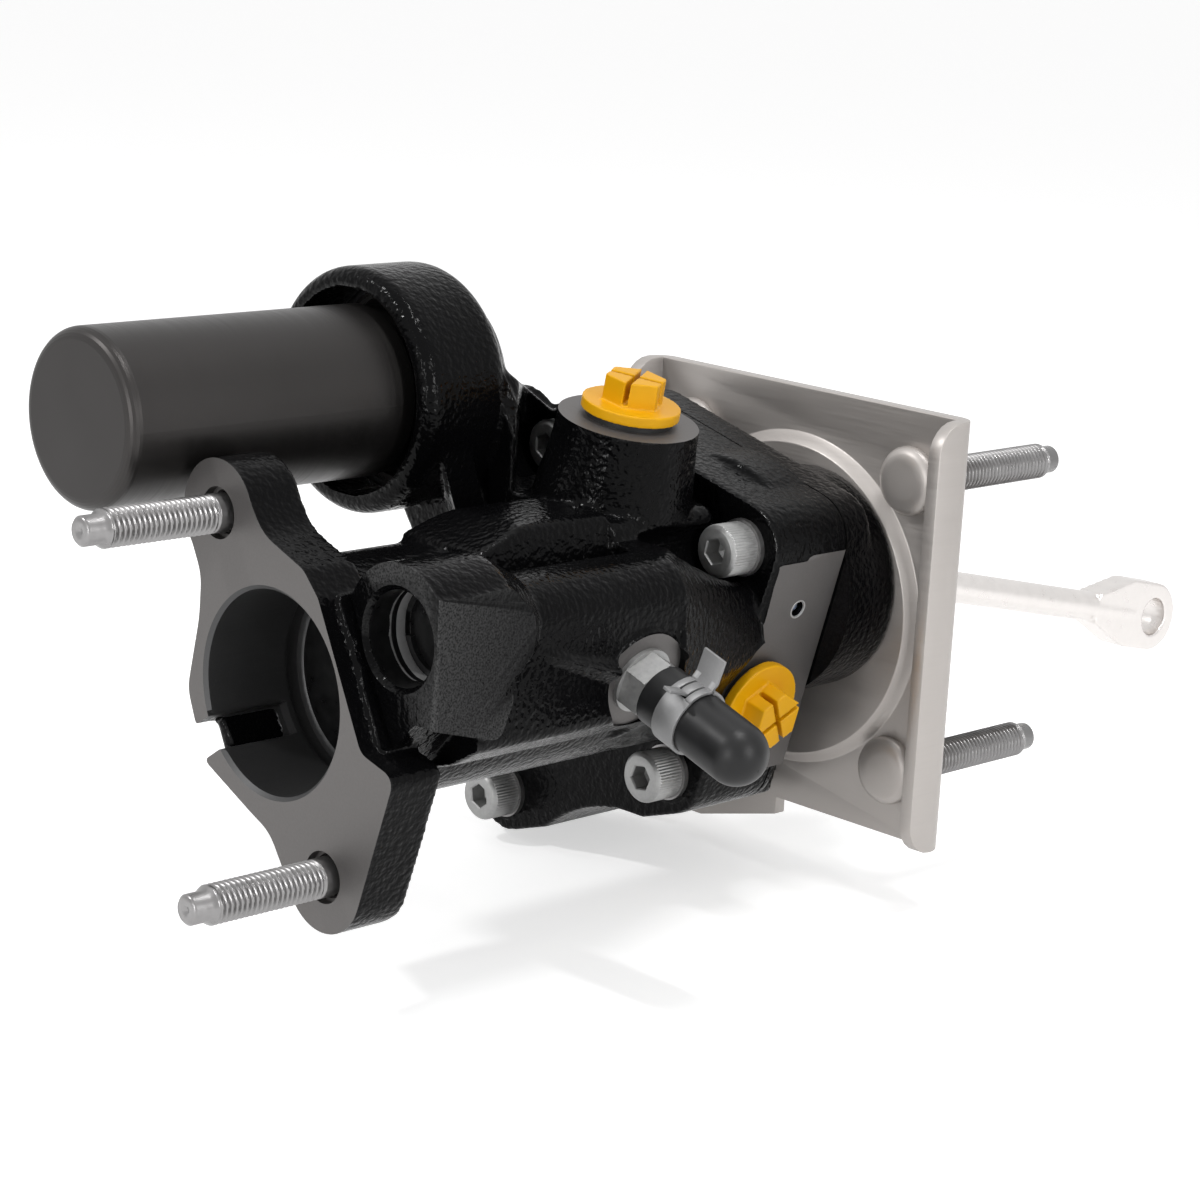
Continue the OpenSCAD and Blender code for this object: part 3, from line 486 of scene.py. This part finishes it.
# Machined pad on the port side: [Y, height along the face]
pad = {"shape": [(-51.5, 30.8), (-26, 30.8), (-26, -30), (-50, -26), (-64, -12), (-64.5, -1), (-58, 6), (-51.5, 9.8)],
       "foot": -8, "thick": 11}
padPlace = facingSide(front["pad"], 0, 0)
cut(casting, prism([(y, up, pad["foot"]) for y, up in pad["shape"]], (0, 0, pad["thick"]), padPlace), "UNION")

# Slanting rib from the cup's wall down to the web, in place of the solid's straight one
rib = {"oldLow": (-52, -110, 8), "oldHigh": (-20, -98.02, 32), "way": (-16, 10, 0),
       "side": [(-24, -118, 49), (-24, -106.7, 48.6), (-24, -98.9, 25.5), (-24, -109.2, 25.5)]}
cut(casting, boxCutter(rib["oldLow"], rib["oldHigh"]))
cut(casting, prism(rib["side"], rib["way"]), "UNION")

# Machined faces stand out while the skin is softened, and are cut flat after it:
# the normal, the level, how far the face stands out, and which points belong to it
standOut = [
    ((0, 1, 0), front["flange"], -5, None),
    ((0, 1, 0), front["joint"], 5, None),
    (padNormal, front["pad"], 5, lambda p: p.y > -66),
    (bossAxis, bossAt.dot(bossAxis), 5, None),
    (fittingNormal, front["fitting"] + 0.6, 4, None),
    ((1, 0, 0), front["cheek"], 3, lambda p: p.y < -150),
    ((0, 1, 0), front["mouthFace"], -3, lambda p: p.x > 8 and p.z > -25),
]
for normal, level, shift, keep in standOut:
    pushPlane(casting, normal, level, shift, keep)
soften(casting, front["voxel"], front["passes"])

# Holes: rows of radius and place along the axis
r = front["register"]
m = front["mouth"]
groove = 12.9
hole = {
    "register": [(r + 1, -192), (r + 1, -191.2), (r, -190.2), (r, -165.2), (r + 1.2, -165.19), (r + 1.2, -161.2),
                 (r - 1.6, -161.19), (r - 1.6, -156.7), (20, -156.69), (20, -20)],
    "valve": [(13.05, -192), (13.05, -182.5), (m, -181.2), (m, -174.4), (groove, -174.39), (groove, -172.8),
              (m, -172.79), (m, -170), (groove, -169.99), (groove, -168.4), (m, -168.39), (m, -158.5),
              (7, -158.49), (7, -94)],
    "cup": [(27.6, -134), (27.6, -101)],
    "topPort": [(8.4, -14), (8.4, 0.01), (26, 0.02), (26, 30)],
    "fitting": [(5, -10), (5, 0), (13.4, 0.01), (13.4, 30)],
    "sidePort": [(8.4, -12), (8.4, 0), (15.5, 0.01), (15.5, 40)],
    "ball": [(2.15, -5.5), (2.15, -0.35), (2.55, 0.05), (2.55, 5)],
    "screw": [(4, -120), (4, -88.01), (8.75, -88), (8.75, -54), (4, -53.99), (4, 0)],
    "stud": [(6.53, -195), (6.53, -188.7), (5.23, -188.69), (5.23, -175.51), (8.8, -175.5), (8.8, -161.5)],
}

# Outlines of what is cut off: beside the valve's mouth, clear of the flange, and outside the pad
besideFlange = [(12, 34.3), (18.1, 28), (35.7, -6), (48, -9), (90, -9), (90, 60), (12, 60)]
outsidePad = [(-52, 60), (-52, 9.8), (-58.5, 6), (-65, -1), (-65, -12), (-58, -24), (-52, -30), (-52, -60), (20, -60),
              (20, 60)]
far = 150
drainTurn = Matrix.Rotation(math.radians(front["drainTurn"]), 4, "Y")
drain = {"half": 4.4, "from": -192, "open": (22, -185.2), "closed": (3, -167.2)}
cutters = [
    boxCutter((-far, -260, -far), (far, front["flange"], far)),
    boxCutter((-far, front["joint"], -far), (far, 20, far)),
    roundCutter(hole["register"], alongY(0, 0)),
]
for out, to in (drain["open"], drain["closed"]):
    cutters.append(boxCutter((r - 8, drain["from"], -drain["half"]), (r + out, to, drain["half"]), drainTurn))
cutters += [
    roundCutter(hole["valve"], alongY(*front["valve"])),
    roundCutter(hole["cup"], alongY(*front["can"])),
    roundCutter(hole["topPort"], facing(bossAt, bossAxis)),
    roundCutter(hole["fitting"], facingSide(front["fitting"], *front["fittingAt"], fittingTilt)),
    roundCutter(hole["sidePort"], facingSide(front["pad"], *front["sidePlugAt"])),
    prism([(y, up, 0) for y, up in outsidePad], (0, 0, 60), padPlace),
    boxCutter((front["cheek"], -200, -40), (90, -150, 60)),
    prism([(x, -210, z) for x, z in besideFlange], (0, front["mouthFace"] + 210, 0)),
    roundCutter(hole["ball"], facingSide(front["pad"], *front["ballAt"])),
]
cutters += [roundCutter(hole["screw"], alongY(x, z)) for x, z in screwAt]
cutters += [roundCutter(hole["stud"], alongY(x, z)) for x, z in studAt]
for cutter in cutters:
    cut(casting, cutter)
ballAt = onSide(front["pad"], *front["ballAt"])
fittingCentre = onSide(front["fitting"], *front["fittingAt"], fittingTilt)


def inRing(c, x, z, radius):
    return 0 < math.hypot(c.x - x, c.z - z) < radius


# A face on a level, which looks along its normal
def onFace(c, n, normal, level):
    return abs(c.dot(normal) - level) < 0.05 and n.dot(normal) > 0.9


# Faces of a bore: they look at its axis, or across it
def inBore(c, n, x, z, radius, y0, y1):
    out = Vector((c.x - x, 0, c.z - z))
    return y0 < c.y < y1 and out.length < radius and (abs(n.y) > 0.9 or n.dot(out) < 0)


vx, vz = front["valve"]
flangeNormal = Vector((0, -1, 0))
paintFaces(casting, ("cast", "machined", "bore", "land", "dark"), [
    # The land finish paints in part of the reflection that the hole's walls and the valve's lands catch
    ("land", lambda c, n: (c - ballAt).length < 3.4 and abs(n.dot(padNormal)) < 0.98),
    ("machined", lambda c, n: onFace(c, n, flangeNormal, -front["flange"])),
    ("machined", lambda c, n: c.y < -187 and any(inRing(c, x, z, 6.7) for x, z in studAt)),
    ("machined", lambda c, n: c.y > -66 and onFace(c, n, padNormal, front["pad"])),
    ("machined", lambda c, n: onFace(c - bossAt, n, bossAxis, 0)),
    ("machined", lambda c, n: onFace(c, n, fittingNormal, front["fitting"]) and (c - fittingCentre).length < 14),
    ("bore", lambda c, n: inBore(c, n, 0, 0, r + 3.2, front["flange"] + 0.5, -20)),
    ("land", lambda c, n: inBore(c, n, vx, vz, m + 0.2, -175.5, -167.5)),
    ("dark", lambda c, n: inBore(c, n, vx, vz, m + 1.3, -181.2, -167.5)),
    ("bore", lambda c, n: inBore(c, n, vx, vz, m + 1.3, -181.2, -90)),
])
shade(casting)
seat(casting, "booster", "casting", "front_housing")
print("front housing made", len(casting.data.polygons))

# Rear housing
back = {"face": -26, "standOut": -5, "bore": [(20, -40), (20, -20), (16.55, -19.99), (16.55, 20)], "snoutFrom": -6.5,
        "boreWall": 20.3}
rear = copyOf("rear_housing", "rearCasting")
cut(rear, roundCutter(underside["rows"], alongY(*underside["centre"])))
pushPlane(rear, (0, 1, 0), back["face"], back["standOut"])
soften(rear, front["voxel"] + 0.1, front["passes"])
cut(rear, boxCutter((-far, -60, -far), (far, back["face"], far)))
cut(rear, roundCutter(back["bore"], alongY(0, 0)))
paintFaces(rear, ("cast", "machined"), [
    ("machined", lambda c, n: c.y > back["snoutFrom"]),
    ("machined", lambda c, n: inRing(c, 0, 0, back["boreWall"])),
])
shade(rear)
seat(rear, "booster", "casting", "rear_housing")
print("rear housing made")

# Threaded studs: the thread is a wave on the shank
thread = {"radius": 4.93, "depth": 0.92, "pitch": 1.5, "steps": 9, "runOut": 0.8, "crest": 0.12,
          "flank": 0.76}


def threadRows(z0, z1):
    t = thread
    rows = []
    count = int((z1 - z0) / t["pitch"] * t["steps"])
    for i in range(count + 1):
        z = z0 + (z1 - z0) * i / count
        fade = min(1.0, max(0.0, min(z - z0, z1 - z) / (t["runOut"] * t["pitch"])))

        def radiusAt(a, z=z, fade=fade):
            phase = (z / t["pitch"] - a / (2 * math.pi)) % 1.0
            wave = min(1.0, max(0.0, (abs(2 * phase - 1) - t["crest"]) / t["flank"]))
            return t["radius"] - t["depth"] * fade * wave
        rows.append((radiusAt, z))
    return rows


# The head, the ends of the thread and the tip, as rows of radius and height
firewallStud = {"at": [(-41, -41), (-41, 41), (41, -41), (41, 41)], "thread": (6.5, 50.5), "headUnder": -3.9,
                "head": [(0.4, -8.2), (4.6, -8.1), (7.3, -7.75), (8.9, -6.9), (9.45, -5.9), (9.5, -4.6), (9.2, -4.0),
                         (4.93, -3.99), (4.93, 5.6)],
                "tip": [(4.75, 51.0), (3.88, 52.2), (3.88, 55.9), (3.38, 56.5), (1.5, 56.5), (0.7, 55.9)]}
flangeStud = {"at": studAt, "thread": (2.4, 34.4),
              "head": [(3.0, -20.7), (6.9, -20.7), (7.6, -20.0), (7.6, -15.7), (4.93, -15.69), (4.93, 2.0)],
              "tip": [(4.7, 34.9), (3.78, 35.9), (3.78, 40.2), (3.18, 40.8), (1.2, 40.8), (0.6, 40.3)]}


def studRows(stud):
    return stud["head"] + threadRows(*stud["thread"]) + stud["tip"]


for i, (x, z) in enumerate(firewallStud["at"]):
    made = turned("firewallStud%d" % i, studRows(firewallStud), mats["zinc"], 56, alongY(x, z))
    made.data.materials.append(mats["bracket"])
    for face in made.data.polygons:
        if face.center.z < firewallStud["headUnder"] * mm:
            face.material_index = 1
    shade(made, 50)
    seat(made, "booster", "zinc_steel", *(["firewall_studs"] if i == 0 else []))
for i, (x, z) in enumerate(flangeStud["at"]):
    made = turned("cylinderStud%d" % i, studRows(flangeStud), mats["zinc"], 56,
                  facing((x, front["flange"], z), (0, -1, 0)))
    shade(made, 50)
    seat(made, "booster", "zinc_steel", *(["master_cylinder_studs"] if i == 0 else []))
print("studs made")

# Socket head screws with knurled sides
screw = {"radius": 7.15, "knurl": 0.26, "teeth": 52, "socket": 3.5, "under": -55.5}


def knurl(a):
    return screw["radius"] - screw["knurl"] * (0.5 - 0.5 * math.cos(screw["teeth"] * a))


screwRows = [(3.9, -40), (3.9, 0), (6.9, 0.01), (knurl, 0.5), (knurl, 8.2), (6.95, 8.5), (6.1, 9.4), (5.9, 9.5)]
socketRows = [(screw["socket"] * 0.5, 3.4), (screw["socket"], 4.4), (screw["socket"], 9.1),
              (screw["socket"] + 0.6, 9.7)]
for i, (x, z) in enumerate(screwAt):
    made = turned("housingScrew%d" % i, screwRows, mats["screw"], screw["teeth"] * 4,
                  facing((x, screw["under"], z), (0, -1, 0)))
    cut(made, roundCutter(socketRows, made.matrix_world @ Matrix.Rotation(rng.uniform(0, 1), 4, "Z"), 6))
    dress(made, "screw")
    shade(made, 30)
    seat(made, "booster", "screw_steel", *(["housing_screws"] if i == 0 else []))
print("screws made")

# Moulded plugs and the forged rod, with softened edges
plugSkin = {"voxel": 0.28 * 1, "passes": 4}
for node, name in (("top_port_plug", "topPlug"), ("side_port_plug", "sidePlug")):
    made = soften(copyOf(node, name), plugSkin["voxel"], plugSkin["passes"])
    dress(made, "yellow")
    shade(made, 60)
    seat(made, "booster", "plug_yellow", node)
rodSkin = {"voxel": 0.5, "passes": 8, "eyeAt": (0, 167.92, -28.35), "eye": [(6, -20), (6, 20)]}
rod = soften(copyOf("pedal_rod", "pedalRod"), rodSkin["voxel"], rodSkin["passes"])
cut(rod, roundCutter(rodSkin["eye"], facing(rodSkin["eyeAt"], (1, 0, 0))))
dress(rod, "rod")
shade(rod, 50)
seat(rod, "pedal_rod", "zinc_steel", "pedal_rod")

# Edge of the ball's hole in the land finish: bare metal, partly painted reflection
rimRows = {"outside": [(2.5, -0.4), (2.75, 0.0), (2.65, 0.12)], "inside": [(2.16, -1), (2.16, -0.3), (2.45, 0.3)]}
rimPlace = facingSide(front["pad"], *front["ballAt"])
rim = turned("ballRim", rimRows["outside"], mats["land"], 48, rimPlace)
cut(rim, roundCutter(rimRows["inside"], rimPlace, 48))
shade(rim)
seat(rim, "booster", "plain_steel")
print("plugs and rod made")

# Bracket: the pressed sheet with its edges broken
bracketEdge = {"width": 0.55, "flat": 0.5}
sheet = copyOf("bracket", "bracketSheet")
shape = bmesh.new()
shape.from_mesh(sheet.data)
bmesh.ops.dissolve_limit(shape, angle_limit=math.radians(bracketEdge["flat"]), verts=shape.verts, edges=shape.edges)
shape.to_mesh(sheet.data)
shape.free()
bevelled(sheet, bracketEdge["width"])
dress(sheet, "bracket")
shade(sheet, 30)
seat(sheet, "booster", "bracket_steel", "bracket")
print("bracket made")


# A strip bent along [angle, radius] points, between two heights, as one closed band
def strip(name, path, low, high):
    mid = [Vector((r * math.cos(math.radians(a)), r * math.sin(math.radians(a)))) for a, r in path]
    verts = []
    for i, point in enumerate(mid):
        along = (mid[min(i + 1, len(mid) - 1)] - mid[max(i - 1, 0)]).normalized()
        out = Vector((along.y, -along.x)) * clamp["thick"] / 2
        verts += [(*(point - out), low), (*(point + out), low), (*(point + out), high), (*(point - out), high)]
    faces = [(0, 1, 2, 3), tuple(4 * len(mid) - 4 + k for k in (3, 2, 1, 0))]
    for i in range(len(mid) - 1):
        for k in range(4):
            j = (k + 1) % 4
            faces.append((4 * i + k, 4 * i + 4 + k, 4 * i + 4 + j, 4 * i + j))
    return meshObject(name, verts, faces, [mats["clamp"]])


# Spring clamp on the cap: a band whose ends pass through each other and stand up as two ears
clamp = {"radius": 8.6, "thick": 0.9, "width": 7.5, "middle": 102, "gap": 26, "ear": 8.0, "tongue": 2.6, "seat": 14.5,
         "lift": 0.25, "lap": 2, "slack": 0.5, "edge": 0.18}
c = clamp
turnFrom = c["middle"] + c["gap"]
turnTo = c["middle"] - c["gap"] + 360
loop = [(turnFrom + (turnTo - turnFrom) * i / 60, c["radius"]) for i in range(61)]
overLeft = [(turnTo + 2 * c["gap"] * i / 12 - c["lap"], c["radius"] + c["lift"]) for i in range(12)]
overRight = [(turnFrom - 2 * c["gap"] * i / 12 + c["lap"], c["radius"] + c["lift"]) for i in range(12)]
leftEnd = overLeft[-1][0]
rightEnd = overRight[-1][0]
leftEar = overLeft + [(leftEnd + 7, c["radius"] + 2.4), (leftEnd + 18, c["radius"] + c["ear"] - 1.5)]
rightEar = overRight + [(rightEnd - 5, c["radius"] + 2.6), (rightEnd - 1, c["radius"] + c["ear"] + 1)]
middle = c["width"] / 2
side = (c["width"] - c["tongue"]) / 2 - c["slack"]
bandParts = [
    strip("clampBand", loop, 0, c["width"]),
    strip("clampTongue", leftEar, middle - c["tongue"] / 2, middle + c["tongue"] / 2),
    strip("clampForkLow", overRight + rightEar[-2:-1], 0, side),
    strip("clampForkHigh", overRight + rightEar[-2:-1], c["width"] - side, c["width"]),
    strip("clampEar", rightEar[-3:], 0, c["width"]),
]
for i, made in enumerate(bandParts):
    made.matrix_world = facingSide(front["fitting"] + c["seat"], *front["fittingAt"], fittingTilt)
    bevelled(made, c["edge"])
    shade(made, 40)
    seat(made, "booster", "clamp_steel", *(["spring_clamp"] if i == 0 else []))
print("clamp made")

# Springs and boot, each row with two bodies and two places on the axis. The boot is parted at a
# valley between two folds, into its wide part and its lip
boot = {"root": 13, "valley": 26.4, "lip": 31.7, "width": 40, "reach": 60}
wideOff = [(boot["width"], -boot["reach"]), (boot["width"], boot["valley"])]
lipOff = [(boot["width"], boot["valley"]), (boot["width"], boot["reach"])]
for node, name, part, slotName, parent, child, start, end, off in [
        ("return_spring", "returnSpring", "steel", "plain_steel", "booster", "power_piston", -158, -98, None),
        ("rod_boot", "rodBoot", "rubber", "seal_rubber", "booster", "power_piston",
         boot["root"], boot["valley"], lipOff),
        ("rod_boot", "rodBootLip", "rubber", "seal_rubber", "power_piston", "pedal_rod",
         boot["valley"], boot["lip"], wideOff),
        ("valve_spring", "valveSpring", "steel", "plain_steel", "booster", "valve_spool", -152.5, -142.5, None)]:
    made = copyOf(node, name)
    if off:
        cut(made, roundCutter(off, alongY(0, 0)))
    dress(made, part)
    shade(made, 40)
    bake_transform(made)
    if name != "rodBootLip":
        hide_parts(node)
print("springs and boot made")

# The other nodes keep their own shape
own = {"screw_washers": "zinc", "hub_nut": "screw", "joint_gasket": "gasket",
       "accumulator_can": "can", "accumulator_seal": "seal", "accumulator_snap_ring": "dark",
       "accumulator_piston": "steel", "accumulator_piston_seal": "seal", "top_plug_seal": "seal",
       "side_plug_seal": "seal", "return_fitting": "screw", "rubber_cap": "rubber",
       "ball_plug": "ball", "valve_plug": "dark", "valve_plug_seal": "seal", "valve_snap_ring": "dark",
       "valve_spool": "steel", "valve_lever": "steel", "lever_pin": "steel", "power_piston": "steel",
       "piston_seal": "seal", "output_rod": "dark", "spring_seat": "dark", "stem_seal": "seal",
       "rod_retainer": "steel"}
for node, part in own.items():
    dress(nodes[node], part)
print("nodes painted")


# One for a ray from the camera, a mirror or glass, so that metal shows the pale backdrop too
def seenBackdrop(tree):
    path = tree.nodes.new("ShaderNodeLightPath")
    seen = Wire(tree, path.outputs["Is Camera Ray"])
    for kind in ("Is Glossy Ray", "Is Transmission Ray"):
        seen = seen.math("MAXIMUM", Wire(tree, path.outputs[kind]))
    return seen


# Floor and world
stage = {"floorZ": -78.0, "reach": 20000, "colour": (0.84, 0.84, 0.84, 1), "glow": (0.52, 0.52, 0.52),
         "light": 0.5, "seen": 1.0}


def floorLook(place):
    return {"Emission Color": seenBackdrop(place.tree).blend((0, 0, 0), stage["glow"])}


paleFloor = material("paleFloor", floorLook, Base_Color=stage["colour"], Roughness=0.9, Specular_IOR_Level=0.1,
                     Emission_Strength=1.0)
corners = [(x * stage["reach"], y * stage["reach"], stage["floorZ"]) for x, y in ((-1, -1), (1, -1), (1, 1), (-1, 1))]
meshObject("floor", corners, [(0, 1, 2, 3)], [paleFloor])
world = bpy.data.worlds.new("studio")
world.use_nodes = True
background = world.node_tree.nodes["Background"]
background.inputs["Color"].default_value = (1, 1, 1, 1)
seen = seenBackdrop(world.node_tree)
plug(world.node_tree, background.inputs["Strength"], seen * stage["seen"] + (1 - seen) * stage["light"])
bpy.context.scene.world = world

# Small lamps, which the gloss shows as narrow sparks: place, size and power
lamps = {"keyLight": ((-0.5, -0.9, 0.9), (0.07, 0.07), 5.0),
         "topLight": ((0.25, -0.1, 1.1), (0.06, 0.4), 5.0),
         "sideLight": ((1.1, -0.1, 0.35), (0.06, 0.5), 4.0),
         "frontLight": ((0.3, -1.2, 0.2), (0.1, 0.4), 3.0)}
lampTarget = Vector((0, -0.1, 0))
for name, (at, size, power) in lamps.items():
    data = bpy.data.lights.new(name, "AREA")
    data.shape = "RECTANGLE"
    data.size, data.size_y = size
    data.energy = power
    made = bpy.data.objects.new(name, data)
    bpy.context.scene.collection.objects.link(made)
    aim = (Vector(at) - lampTarget).to_track_quat("Z", "Y").to_matrix().to_4x4()
    made.matrix_world = Matrix.Translation(Vector(at)) @ aim
    made.visible_camera = False

# Camera fitted to the photo
view = {"azimuth": 45.0218, "elevation": 13.6084, "roll": 3.1415, "offset": (56.697, -1.605, 891.852),
        "focal": 3135.888, "pixels": 1200.0, "film": 36.0, "near": 0.05, "far": 60}
a = math.radians(view["azimuth"])
e = math.radians(view["elevation"])
right = Vector((math.cos(a), math.sin(a), 0))
ahead = Vector((-math.sin(a) * math.cos(e), math.cos(a) * math.cos(e), -math.sin(e)))
up = right.cross(ahead)
turn = math.radians(view["roll"])
sideways = right * math.cos(turn) + up * math.sin(turn)
down = right * math.sin(turn) - up * math.cos(turn)
offset = view["offset"]
place = -(sideways * offset[0] + down * offset[1] + ahead * offset[2]) * mm
data = bpy.data.cameras.new("photoCamera")
data.lens = view["focal"] * view["film"] / view["pixels"]
data.sensor_width = view["film"]
data.clip_start = view["near"]
data.clip_end = view["far"]
camera = bpy.data.objects.new("photoCamera", data)
bpy.context.scene.collection.objects.link(camera)
camera.matrix_world = Matrix.Translation(place) @ Matrix((sideways, -down, -ahead)).transposed().to_4x4()
bpy.context.scene.camera = camera
bpy.context.scene.view_settings.view_transform = "Standard"
print("stage, light and camera made")
